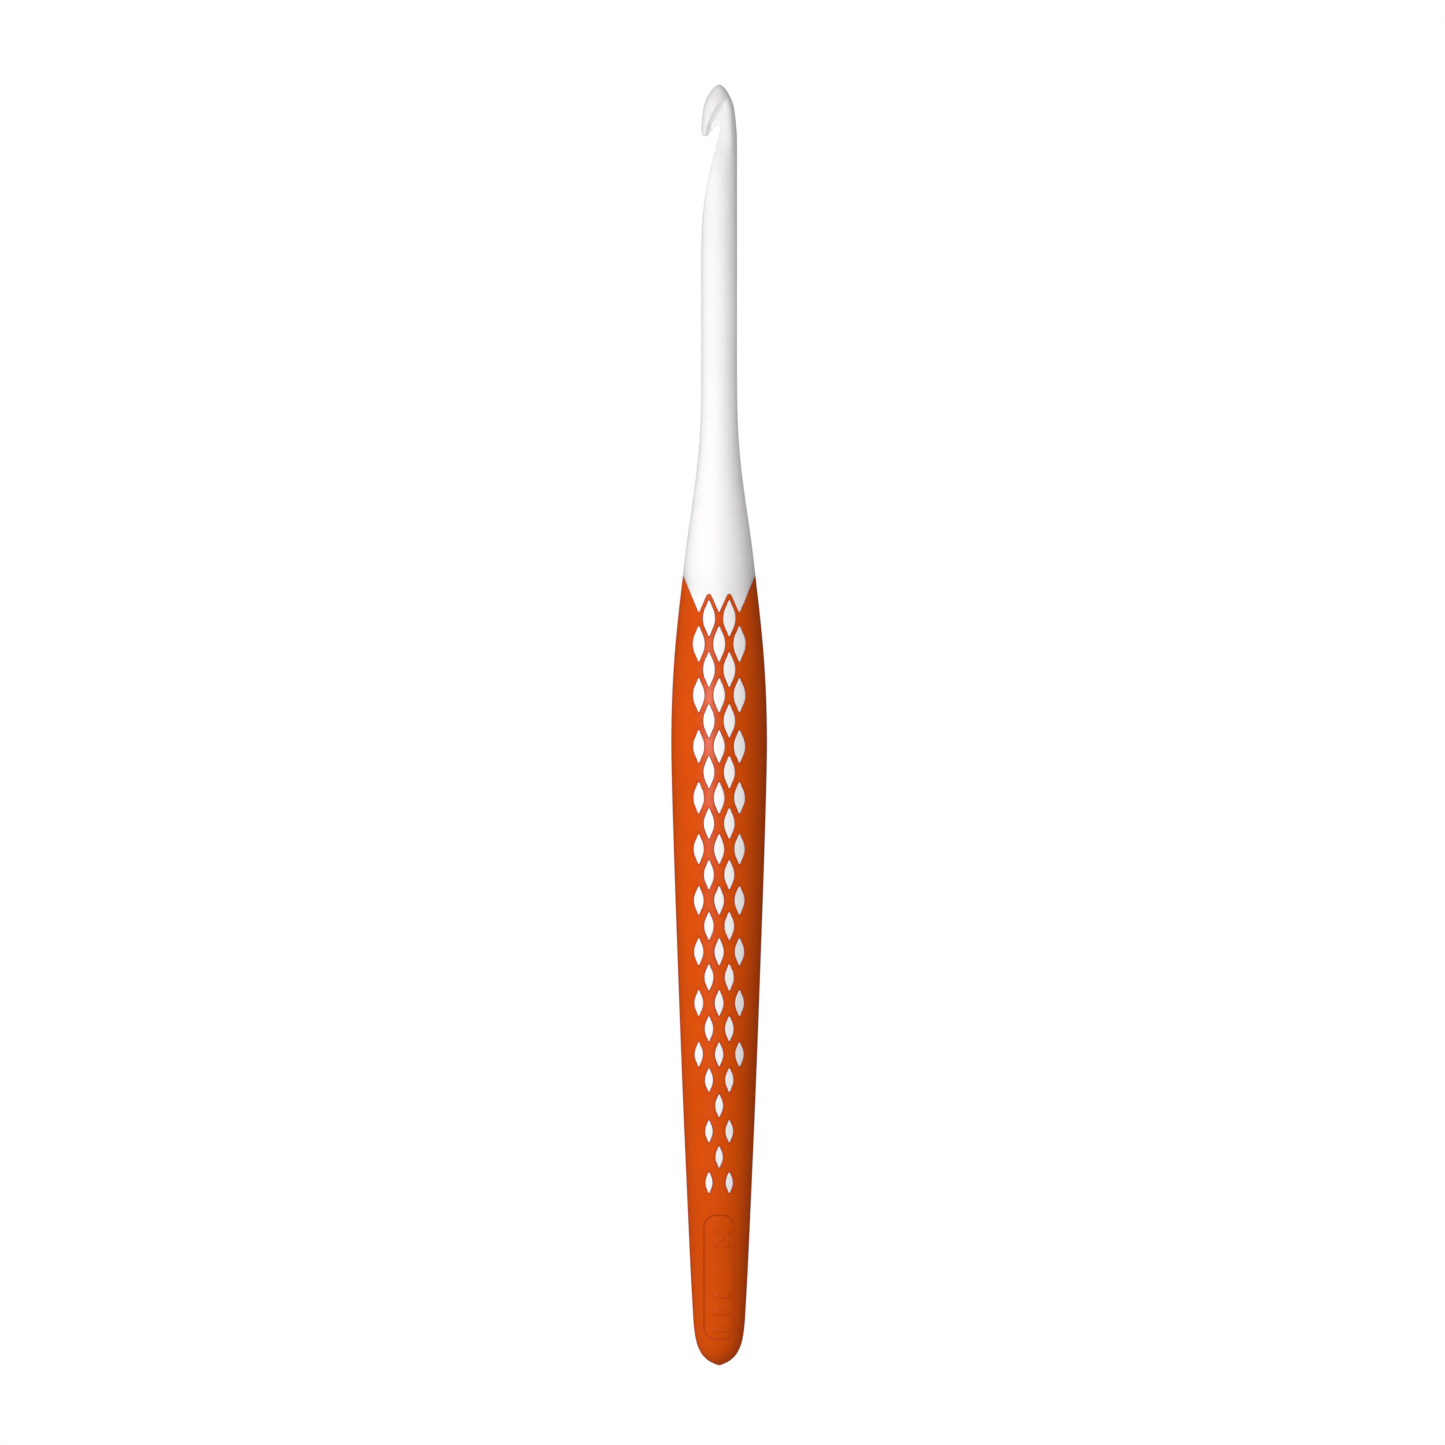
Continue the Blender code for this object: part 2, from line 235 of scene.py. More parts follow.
def window(row, column):
    """The outline of one lens's flat top, INSET inside its window, counter-clockwise, as points round and along the handle, with outward normals and its own radius."""
    t = row / (ROWS - 1)
    width = WINDOW_WIDTH[0] + (WINDOW_WIDTH[1] - WINDOW_WIDTH[0]) * t
    height = WINDOW_HEIGHT[0] + (WINDOW_HEIGHT[1] - WINDOW_HEIGHT[0]) * t + 0.42
    cu = FIRST_ROW_U - ROW_PITCH * row
    cy = COLUMN_PITCH * column
    s = np.linspace(0.0, 1.0, 300)
    half = _lens(s) * width / 2
    half = half - INSET * np.sqrt(1 + (np.gradient(half, s) / (height / 2)) ** 2)
    first = np.nonzero(half <= 0)[0][-1]
    tip = s[first] - half[first] * (s[first + 1] - s[first]) / (half[first + 1] - half[first])
    s, half = np.append(tip, s[first + 1:]), np.append(0.0, half[first + 1:])
    right_up = np.stack([half[::-1], (1 - s[::-1]) * height / 2], 1)[:-1]
    left_down = np.stack([-half, (1 - s) * height / 2], 1)[:-1]
    upper = np.vstack([right_up, left_down])
    outline = np.vstack([upper, -upper])
    u = cu + outline[:, 1]
    near = float(radius(cu))
    arc = near * np.arcsin((cy + outline[:, 0]) / radius(u))
    dense = evenly(np.stack([arc, u], 1), 0.02, True)
    dense = rounded(dense, 0.12 / 0.02, dense[-60:], dense[:60])
    p, n = thinned(dense, True, 0.05, 0.42, 0.30)
    return p, n, near, INSET


def wing_edge():
    """The sleeve's zigzag front edge on the upper half, from phi -90 to 90 degrees, with normals towards the sleeve."""
    near = float(radius(107.0))
    valley, peak = 105.27, 108.03
    corners = [(0.0, valley), (COLUMN_PITCH - 0.20, peak), (COLUMN_PITCH + 0.20, peak), (2 * COLUMN_PITCH, valley)]
    far = 112.5
    corners.append((2 * COLUMN_PITCH + 0.415 * (far - valley), far))
    corners = np.array([(-y, u) for y, u in corners[:0:-1]] + corners)
    line = evenly(corners, 0.002, False)
    inside = np.abs(line[:, 0]) < radius(line[:, 1]) * 0.99999
    line = line[inside]
    arc = near * np.arcsin(line[:, 0] / radius(line[:, 1]))
    line = np.stack([arc, line[:, 1]], 1)
    end = near * QUARTER
    line = np.vstack([[-end, line[0, 1]], line, [end, line[-1, 1]]])
    dense = evenly(line, 0.02, False)
    before = np.stack([-2 * end - dense[60:0:-1, 0], dense[60:0:-1, 1]], 1)
    after = np.stack([2 * end - dense[-2:-62:-1, 0], dense[-2:-62:-1, 1]], 1)
    dense = rounded(dense, 0.23 / 0.02, before, after)
    dense[0, 0], dense[-1, 0] = -end, end
    p, n = thinned(dense, False, 0.10, 0.42, 0.24)
    p[0, 0], p[-1, 0] = -end, end
    n[0], n[-1] = (0.0, -1.0), (0.0, -1.0)
    return p, n, near, 0.0


def offset(outline, distance):
    """A window's or the front edge's outline moved outwards, as (u, phi); distance 0 is the opening in the sleeve."""
    p, n, near, inset = outline
    q = p + n * (distance + inset)
    phi = q[:, 0] / near
    if abs(abs(phi[0]) - QUARTER) < 1e-6:
        phi[0], phi[-1] = -QUARTER, QUARTER
    return q[:, 1], phi


windows = [
    window(row, column)
    for row in range(ROWS)
    for column in ((-1, 1) if row % 2 == 0 else (-2, 0, 2) if row < LAST_THREE_WIDE_ROW else (0,))
]
wing = wing_edge()


# ---------------------------------------------------------------- mesh gathering
class Gather:
    """Collects points and faces, then welds them into one closed mesh."""

    def __init__(self):
        self.points, self.normals, self.rim, self.tris, self.quads = [], [], [], [], []
        self.count = 0

    def add(self, points, normals=None, rim=0.0):
        points = np.asarray(points, float).reshape(-1, 3)
        self.points.append(points)
        self.normals.append(np.zeros_like(points) if normals is None else np.asarray(normals, float).reshape(-1, 3))
        self.rim.append(np.full(len(points), rim))
        index = np.arange(self.count, self.count + len(points))
        self.count += len(points)
        return index

    def strip(self, a, b, closed):
        if closed:
            a, b = np.append(a, a[0]), np.append(b, b[0])
        self.quads.append(np.stack([a[:-1], a[1:], b[1:], b[:-1]], 1))

    def fan(self, ring, centre):
        self.tris.append(np.stack([ring, np.roll(ring, -1), np.full(len(ring), centre)], 1))

    def zip(self, a, angle_a, b, angle_b):
        """Triangles between two closed rings whose points are both in order of angle."""
        a, b = list(a[np.argsort(angle_a)]), list(b[np.argsort(angle_b)])
        ta, tb = sorted(angle_a), sorted(angle_b)
        na, nb, i, j, made = len(a), len(b), 0, 0, []
        while i < na or j < nb:
            next_a = ta[i + 1] if i + 1 < na else ta[0] + 2 * math.pi if i + 1 == na else 1e9
            next_b = tb[j + 1] if j + 1 < nb else tb[0] + 2 * math.pi if j + 1 == nb else 1e9
            if next_a <= next_b:
                made.append((a[i % na], a[(i + 1) % na], b[j % nb]))
                i += 1
            else:
                made.append((a[i % na], b[(j + 1) % nb], b[j % nb]))
                j += 1
        self.tris.append(np.array(made))

    def make(self, name):
        points = np.vstack(self.points)
        normals = np.vstack(self.normals)
        rim = np.concatenate(self.rim)
        key = np.round(points, 5) + 0.0
        _, first, same = np.unique(key, axis=0, return_index=True, return_inverse=True)
        same = same.reshape(-1)
        tris = same[np.vstack(self.tris)]
        quads = same[np.vstack(self.quads)]
        whole = (tris[:, 0] != tris[:, 1]) & (tris[:, 1] != tris[:, 2]) & (tris[:, 0] != tris[:, 2])
        tris = tris[whole]
        used = np.unique(np.concatenate([tris.ravel(), quads.ravel()]))
        new = np.full(len(first), -1)
        new[used] = np.arange(len(used))
        tris, quads, first = new[tris], new[quads], first[used]
        mesh = bpy.data.meshes.new(name)
        mesh.from_pydata((points[first] * MM).tolist(), [], tris.tolist() + quads.tolist())
        bm = bmesh.new()
        bm.from_mesh(mesh)
        bmesh.ops.recalc_face_normals(bm, faces=bm.faces)
        if bm.calc_volume(signed=True) < 0:
            bmesh.ops.reverse_faces(bm, faces=bm.faces)
        loose = sum(1 for e in bm.edges if not e.is_manifold)
        print(name, len(bm.verts), "points", len(tris) + 2 * len(quads), "triangles", loose, "open edges",
              round(bm.calc_volume(signed=True) * 1e9, 1), "mm3")
        if loose:
            bad = [e for e in bm.edges if not e.is_manifold][:6]
            for e in bad:
                print("   open at", [tuple(round(c * 1000, 3) for c in q.co) for q in e.verts], len(e.link_faces))
        bm.to_mesh(mesh)
        bm.free()
        # rim: how much painted shade darkens each point's colour in the materials
        attribute = mesh.attributes.new("rim", "FLOAT", "POINT")
        attribute.data.foreach_set("value", rim[first].astype(np.float32))
        mesh.shade_smooth()
        mesh.normals_split_custom_set_from_vertices(normals[first].tolist())
        thing = bpy.data.objects.new(name, mesh)
        bpy.context.scene.collection.objects.link(thing)
        return thing


def triangulate(loops, extra, inside_all=False):
    """Triangles between the first loop and the others, or inside every loop."""
    points = np.vstack(loops + [extra])
    faces, start = [], 0
    for loop in loops:
        faces.append(list(range(start, start + len(loop))))
        start += len(loop)
    found = delaunay_2d_cdt([Vector(p) for p in points.tolist()], [], faces, 1, 1e-6, True)
    back = [o[0] if o else -1 for o in found[3]]
    if min(back) < 0 or len(found[0]) != len(points):
        print("triangulation changed the points:", len(points), len(found[0]))
    if inside_all:
        keep = [t for t, f in zip(found[2], found[5]) if f]
    else:
        keep = [t for t, f in zip(found[2], found[5]) if f == [0]]
    return np.array([[back[i] for i in t] for t in keep])


def hexes(u0, u1, pitch, side):
    """A field of evenly spread (u, phi) points."""
    w0, w1 = float(np.interp(u0, grid_u, _along)), float(np.interp(u1, grid_u, _along))
    rows = int(math.ceil((w1 - w0) / (pitch * 0.866)))
    made = []
    for k in range(rows):
        w = w0 + (k + 0.5) * (w1 - w0) / rows
        n = int(2 * side * MEAN_R / pitch)
        s = (np.arange(n) + (0.25 if k % 2 else 0.75)) / n * 2 * side * MEAN_R - side * MEAN_R
        made.append(np.stack([np.full(n, w), s / MEAN_R], 1))
    made = np.vstack(made)
    return unrolled_u(made[:, 0]), made[:, 1]


def clear_of(field, loops, gap):
    """The field's points that stay gap away from every loop's points."""
    points = np.vstack(loops)
    tree = kdtree.KDTree(len(points))
    for i, p in enumerate(points.tolist()):
        tree.insert((p[0], p[1], 0.0), i)
    tree.balance()
    spots = flat(*field)
    keep = np.array([tree.find((p[0], p[1], 0.0))[2] > g for p, g in zip(spots.tolist(), np.broadcast_to(gap, len(spots)).tolist())])
    return field[0][keep], field[1][keep]


def half_outline(u0, across, column_pitch, edge):
    """Outline of the upper half's surface from u0 to an edge ring, counter-clockwise, as (u, phi)."""
    u_edge, phi_edge = edge
    w0, w1 = float(np.interp(u0, grid_u, _along)), float(np.interp(u_edge[-1], grid_u, _along))
    n = max(2, int(round((w1 - w0) / column_pitch)))
    column = unrolled_u(np.linspace(w0, w1, n + 1)[1:-1])
    row = np.linspace(-QUARTER, QUARTER, across + 1)
    u = np.concatenate([np.full(across + 1, u0), column, u_edge[::-1], column[::-1]])
    phi = np.concatenate([row, np.full(len(column), QUARTER), phi_edge[::-1], np.full(len(column), -QUARTER)])
    return u, phi


def both(phi, side):
    return phi if side > 0 else math.pi - phi


def full_ring(across):
    return np.linspace(-QUARTER, 3 * QUARTER, 2 * across + 1)[:-1]


# ---------------------------------------------------------------- size panel
PANEL_MIDDLE, PANEL_HALF_LENGTH, PANEL_HALF, PANEL_CORNER, PANEL_DEPTH = 12.3, 8.7, 2.18, 1.65, 0.11
PIPS = [(17.7, -0.35)] + [(17.7 + a, -0.35 + b) for a in (-0.85, 0.85) for b in (-0.85, 0.85)]
BARS = [(9.7, -1.35, 0.65), (7.3, -1.35, 0.65), (4.9, -1.35, 0.65)]


def relief(u, phi):
    """Height of the panel's floor and marks over the plain surface."""
    y = radius(u) * np.sin(phi)
    a = np.abs(u - PANEL_MIDDLE) - (PANEL_HALF_LENGTH - PANEL_CORNER)
    b = np.abs(y) - (PANEL_HALF - PANEL_CORNER)
    depth = PANEL_CORNER - (np.hypot(np.maximum(a, 0), np.maximum(b, 0)) + np.minimum(np.maximum(a, b), 0))
    height = -PANEL_DEPTH * ease(depth / 0.13 + 0.5)
    for pu, py in PIPS:
        height += 0.07 * ease((0.32 - np.hypot(u - pu, y - py)) / 0.20 + 0.5)
    for bu, y0, y1 in BARS:
        far = np.hypot(u - bu, y - np.clip(y, y0, y1))
        height += 0.06 * ease((0.24 - far) / 0.18 + 0.5)
    return np.where((np.cos(phi) > 0) & (depth > -0.3), height, 0.0)


def panel_and_mark_shade(u, phi):
    """How much painted shade darkens the panel's edge and the marks' feet."""
    y = radius(u) * np.sin(phi)
    a = np.abs(u - PANEL_MIDDLE) - (PANEL_HALF_LENGTH - PANEL_CORNER)
    b = np.abs(y) - (PANEL_HALF - PANEL_CORNER)
    depth = PANEL_CORNER - (np.hypot(np.maximum(a, 0), np.maximum(b, 0)) + np.minimum(np.maximum(a, b), 0))
    dark = 0.85 * np.exp(-((depth - 0.02) / 0.11) ** 2)
    for pu, py in PIPS:
        dark = np.maximum(dark, 0.40 * np.exp(-((np.hypot(u - pu, y - py) - 0.36) / 0.10) ** 2))
    for bu, y0, y1 in BARS:
        far = np.hypot(u - bu, y - np.clip(y, y0, y1))
        dark = np.maximum(dark, 0.40 * np.exp(-((far - 0.27) / 0.10) ** 2))
    return np.where(np.cos(phi) > 0, dark, 0.0)


def relief_normals(u, phi):
    e = 0.01
    du = place(u + e, phi, relief(u + e, phi)) - place(u - e, phi, relief(u - e, phi))
    f = e / 4.0
    df = place(u, phi + f, relief(u, phi + f)) - place(u, phi - f, relief(u, phi - f))
    n = np.cross(du, df)
    return n / np.linalg.norm(n, axis=1)[:, None]


# ---------------------------------------------------------------- soft_grip_skin: the orange sleeve
ACROSS = 30


def sleeve():
    g = Gather()
    u0 = 3.0
    out_rings = [offset(w, 0.10) for w in windows]
    edge = offset(wing, 0.10)
    ou, op = half_outline(u0, ACROSS, 0.42, edge)
    loops = [flat(ou, op)] + [flat(*r) for r in out_rings]
    field = hexes(u0, 110.6, 0.42, QUARTER)
    y = radius(field[0]) * np.sin(field[1])
    in_panel = (field[0] < 21.5) & (np.abs(y) < 2.55)
    plain = clear_of((field[0], field[1]), loops, 0.27)
    outer_field = clear_of((field[0][~in_panel], field[1][~in_panel]), loops, 0.27)
    fine_field = hexes(3.15, 21.45, 0.13, QUARTER)
    y = radius(fine_field[0]) * np.sin(fine_field[1])
    keep = np.abs(y) < 2.5
    fine_field = clear_of((fine_field[0][keep], fine_field[1][keep]), loops, 0.1)
    front_extra = (np.concatenate([outer_field[0], fine_field[0]]), np.concatenate([outer_field[1], fine_field[1]]))
    back_tris = triangulate(loops, flat(*plain))
    front_tris = triangulate(loops, flat(*front_extra))

    # the inner surface, coarser
    in_rings = [offset(w, 0.0) for w in windows]
    in_edge = offset(wing, 0.0)
    iu, ip = half_outline(u0, ACROSS, 1.3, in_edge)
    in_loops = [flat(iu, ip)] + [flat(*r) for r in in_rings]
    in_field = clear_of(hexes(u0, 110.6, 1.3, QUARTER), in_loops, 0.55)
    in_tris = triangulate(in_loops, flat(*in_field))

    for side in (1, -1):
        tris, extra = (front_tris, front_extra) if side > 0 else (back_tris, plain)
        u = np.concatenate([ou] + [r[0] for r in out_rings] + [extra[0]])
        phi = np.concatenate([op] + [r[1] for r in out_rings] + [extra[1]])
        # painted shade: a little round the windows' openings, and on the upper face more at the panel's edge and the
        # marks' feet
        window_edge_shade = np.zeros(len(u))
        window_edge_shade[len(ou):len(u) - len(extra[0])] = 0.30
        if side > 0:
            index = g.add(place(u, phi, relief(u, phi)), relief_normals(u, phi), np.maximum(panel_and_mark_shade(u, phi), window_edge_shade))
        else:
            index = g.add(place(u, both(phi, side)), facing(u, both(phi, side)), window_edge_shade)
        g.tris.append(index[tris])
        columns_n = len(ou) - (ACROSS + 1) - len(edge[0])
        at = ACROSS + 1 + columns_n // 2
        edge_index = index[at:at + len(edge[0])][::-1]
        starts = len(ou)
        ring_index = []
        for r in out_rings:
            ring_index.append(index[starts:starts + len(r[0])])
            starts += len(r[0])

        u = np.concatenate([iu] + [r[0] for r in in_rings] + [in_field[0]])
        phi = np.concatenate([ip] + [r[1] for r in in_rings] + [in_field[1]])
        index = g.add(place(u, both(phi, side), -SKIN))
        g.tris.append(index[in_tris])
        columns_n = len(iu) - (ACROSS + 1) - len(in_edge[0])
        at = ACROSS + 1 + columns_n // 2
        in_edge_index = index[at:at + len(in_edge[0])][::-1]
        starts = len(iu)
        in_index = []
        for r in in_rings:
            in_index.append(index[starts:starts + len(r[0])])
            starts += len(r[0])

        # rounded lip and wall of every window and of the front edge
        for outline, top, bottom, closed in [
            (w, a, b, True) for w, a, b in zip(windows, ring_index, in_index)
        ] + [(wing, edge_index, in_edge_index, False)]:
            last = top
            # the third number is how much painted shade the ring gets, carried in the rim attribute
            for away, d, rim in ((0.055, -0.012, 0.6), (0.018, -0.045, 1.0), (0.0, -0.12, 1.0)):
                ru, rp = offset(outline, away)
                ring = g.add(place(ru, both(rp, side), d), None, rim)
                g.strip(last, ring, closed)
                last = ring
            g.strip(last, bottom, closed)

    # round ends of the tail, outside and inside
    phi = full_ring(ACROSS)
    last = g.add(place(np.full(len(phi), u0), phi))
    for u in (2.55, 2.1, 1.7, 1.33, 1.0, 0.72, 0.48, 0.29, 0.15, 0.06, 0.015):
        at = np.full(len(phi), u)
        ring = g.add(place(at, phi), facing(at, phi))
        g.strip(last, ring, True)
        last = ring
    pole = g.add([(-HALF, 0.0, AXIS)], [(-1.0, 0.0, 0.0)])
    g.fan(last, pole[0])
    last = g.add(place(np.full(len(phi), u0), phi, -SKIN))
    for u in (2.2, 1.5, 1.05):
        ring = g.add(place(np.full(len(phi), u), phi, -SKIN))
        g.strip(last, ring, True)
        last = ring
    pole = g.add([(g.points[-1][0, 0] - 0.1, 0.0, AXIS)])
    g.fan(last, pole[0])
    return g.make("soft_grip_skin")


# ---------------------------------------------------------------- head of the white moulding
CROWN, CROWN_R = (6.21, 0.39), 0.55
LIP_TIP, LIP_TIP_R = (6.71, 1.91), 0.53
RAMP = monotone(((6.4, -0.13), (7.76, 0.20), (9.15, 0.54), (10.56, 0.90), (13.35, 1.51), (16.2, 2.04), (18.8, 2.33), (21.8, 2.56)))
# the crest of the hollow's wall on the head's face, from behind the tip to the lip
RIDGE = (
    (2.30, -3.0), (2.14, -1.7), (2.05, -1.17), (2.02, -0.9), (2.06, -0.61),
    (2.27, -0.12), (2.72, 0.301), (3.28, 0.65), (3.84, 1.03), (4.40, 1.24), (4.956, 1.449), (5.52, 1.66),
    (6.08, 1.785), (6.64, 1.953), (7.6, 2.2), (16.0, 4.2),
)
TILT = monotone(((1.6, -0.04), (2.7, 0.05), (3.84, 0.165), (4.96, 0.235), (5.7, 0.26), (9.6, 0.28)), True)
NET = 0.025
net_v = np.arange(-1.2, 25.0, NET)
net_t = np.arange(-3.2, 3.6, NET)


def head_radius2(v):
    """The head's squared radius, carried on below zero in front of the tip."""
    v = np.asarray(v, float)
    r = _head(np.sqrt(np.clip(v, 0.0, 9.0)))
    first = float(_head(math.sqrt(0.05))) ** 2 / 0.05
    return np.where(v < 0.05, first * v, r * r)


_g = head_radius2(net_v)
_gb = np.convolve(np.pad(_g, 24, mode="edge"), bell(6.0), "valid")
_mix = ease((net_v - 0.6) / 1.4)
table_g = _g * (1 - _mix) + _gb * _mix
table_dg = np.gradient(table_g, NET)


def sided(px, py, line):
    """Distance to a polyline, the share along it, and the side: positive on its left."""
    best = np.full(px.shape, 1e9)
    where = np.zeros(px.shape)
    sign = np.ones(px.shape)
    for k in range(len(line) - 1):
        ax, ay = line[k]
        bx, by = line[k + 1]
        ex, ey = bx - ax, by - ay
        size = ex * ex + ey * ey
        h = np.clip(((px - ax) * ex + (py - ay) * ey) / size, 0.0, 1.0)
        far = np.hypot(px - ax - h * ex, py - ay - h * ey)
        nearer = far < best - 1e-9
        best = np.where(nearer, far, best)
        where = np.where(nearer, k + h, where)
        sign = np.where(nearer, np.where(ex * (py - ay) - ey * (px - ax) > 0, 1.0, -1.0), sign)
    return best, where, sign


def polygon_distance(px, py, line):
    """Signed distance to a closed polygon, negative inside it."""
    best = np.full(px.shape, 1e9)
    inside = np.zeros(px.shape, bool)
    for k in range(len(line)):
        ax, ay = line[k - 1]
        bx, by = line[k]
        ex, ey = bx - ax, by - ay
        h = np.clip(((px - ax) * ex + (py - ay) * ey) / (ex * ex + ey * ey), 0.0, 1.0)
        best = np.minimum(best, (px - ax - h * ex) ** 2 + (py - ay - h * ey) ** 2)
        crosses = (ay > py) != (by > py)
        if by != ay:
            inside ^= crosses & (px < ex * (py - ay) / (by - ay) + ax)
    return np.where(inside, -np.sqrt(best), np.sqrt(best))


def throat_outline():
    points = [(v, float(RAMP(v))) for v in np.linspace(21.8, 6.5, 60)]
    for a in np.linspace(math.pi, math.radians(62), 20):
        points.append((CROWN[0] - CROWN_R * math.sin(a), CROWN[1] + CROWN_R * math.cos(a)))
    for a in np.radians(np.linspace(205, 340, 24)):
        points.append((LIP_TIP[0] - LIP_TIP_R * math.sin(a), LIP_TIP[1] + LIP_TIP_R * math.cos(a)))
    points += [(6.50, 2.54), (6.25, 2.9), (6.25, 3.5), (24.4, 3.5), (24.4, 2.75)]
    return points


_V, _T = np.meshgrid(net_v, net_t, indexing="ij")
SHIFT = 0.055 * ease((net_v - 0.4) / 1.2) * (1 - ease((net_v - 5.2) / 2.4))


def head_tables():
    notch = polygon_distance(_V, _T, throat_outline())
    crest = np.array(RIDGE)
    crest = evenly(crest, 0.02, False)
    crest = rounded(crest, 7.0, np.repeat(crest[:1], 30, 0), np.repeat(crest[-1:], 30, 0))[::5]
    near = (net_v > 0.5) & (net_v < 16.5)
    far, where, sign = sided(_V[near], _T[near], crest)
    k = np.clip(where, 0, len(crest) - 1.001)
    i = k.astype(int)
    f = k - i
    foot_v = crest[i, 0] * (1 - f) + crest[i + 1, 0] * f
    foot_t = crest[i, 1] * (1 - f) + crest[i + 1, 1] * f
    foot_t = foot_t - np.interp(foot_v, net_v, SHIFT)
    foot_z = np.sqrt(np.maximum(np.interp(foot_v, net_v, table_g) - foot_t**2, 0.02))
    q = far * sign * RIDGE_SIDE
    wall = foot_z - (0.80 - 0.27 * ease((3.7 - _V[near]) / 1.7) + 0.72 * ease((_V[near] - 4.7) / 1.6)) * q
    t_right = -1.463
    z_right = np.sqrt(np.maximum(np.interp(_V[near], net_v, table_g) - t_right**2, 0.02))
    floor = z_right - TILT(_V[near]) * (_T[near] - t_right)
    # the floor leaves the face gently behind the tip, and most gently on the side away from the lip
    floor = floor + 0.30 * ease((3.4 - _V[near]) / 2.0)
    floor = floor + 0.22 * ease((-_T[near] - 0.5) / 0.8) * ease((4.0 - _V[near]) / 1.6)
    # inside the lip the wall goes all the way down to the throat
    floor = floor - 0.36 * ease((_T[near] - 0.5) / 0.7) * ease((_V[near] - 4.2) / 1.2) * (1 - ease((_V[near] - 6.9) / 0.9))
    cut = (wall + floor + np.sqrt((wall - floor) ** 2 + 0.16**2)) / 2
    z_cut = np.full(_V.shape, 6.0)
    z_cut[near] = np.minimum(cut, 6.0)
    edge = ease((_V - 14.2) / 1.5)
    z_cut = z_cut * (1 - edge) + 6.0 * edge
    early = ease((1.2 - _V) / 0.6)
    z_cut = z_cut * (1 - early) + 6.0 * early
    gv, gt = np.gradient(z_cut, NET)
    steep = np.sqrt(1 + np.minimum(gv**2 + gt**2, 4.0))
    return notch, z_cut, steep


RIDGE_SIDE = -1.0
table_notch, table_cut, table_steep = head_tables()


def looked_up(table, v, t):
    a = np.clip((v - net_v[0]) / NET, 0, len(net_v) - 1.001)
    b = np.clip((t - net_t[0]) / NET, 0, len(net_t) - 1.001)
    i, j = a.astype(int), b.astype(int)
    a, b = a - i, b - j
    return (
        table[i, j] * (1 - a) * (1 - b) + table[i + 1, j] * a * (1 - b)
        + table[i, j + 1] * (1 - a) * b + table[i + 1, j + 1] * a * b
    )


def round_max(a, b, r):
    return np.minimum(-r, np.maximum(a, b)) + np.sqrt(np.maximum(a + r, 0) ** 2 + np.maximum(b + r, 0) ** 2)


def head_field(v, t, z):
    """Roughly the distance to the head's surface, negative inside it."""
    g = np.interp(v, net_v, table_g)
    dg = np.interp(v, net_v, table_dg)
    c = np.interp(v, net_v, SHIFT)
    rho2 = (t - c) ** 2 + z * z
    body = (rho2 - g) / np.sqrt(4 * rho2 + dg * dg + 1e-6)
    hollow = (np.abs(z) - looked_up(table_cut, v, t)) / looked_up(table_steep, v, t)
    notch = -looked_up(table_notch, v, t)
    soft = 0.09 + 0.26 * ease((-t - 0.25) / 0.9)
    # the face runs out gently along the neck, flat and rounded edge together
    run_out = ease((v - 5.6) / 7.0)
    faced = round_max(body, hollow, soft) * (1 - run_out) + body * run_out
    return round_max(faced, notch, 0.34 - 0.13 * ease((t - 1.0) / 0.8))


def head_slope(p, e=0.02):
    v, t, z = p.T
    g = np.stack([
        head_field(v + e, t, z) - head_field(v - e, t, z),
        head_field(v, t + e, z) - head_field(v, t - e, z),
        head_field(v, t, z + e) - head_field(v, t, z - e),
    ], 1) / (2 * e)
    return g


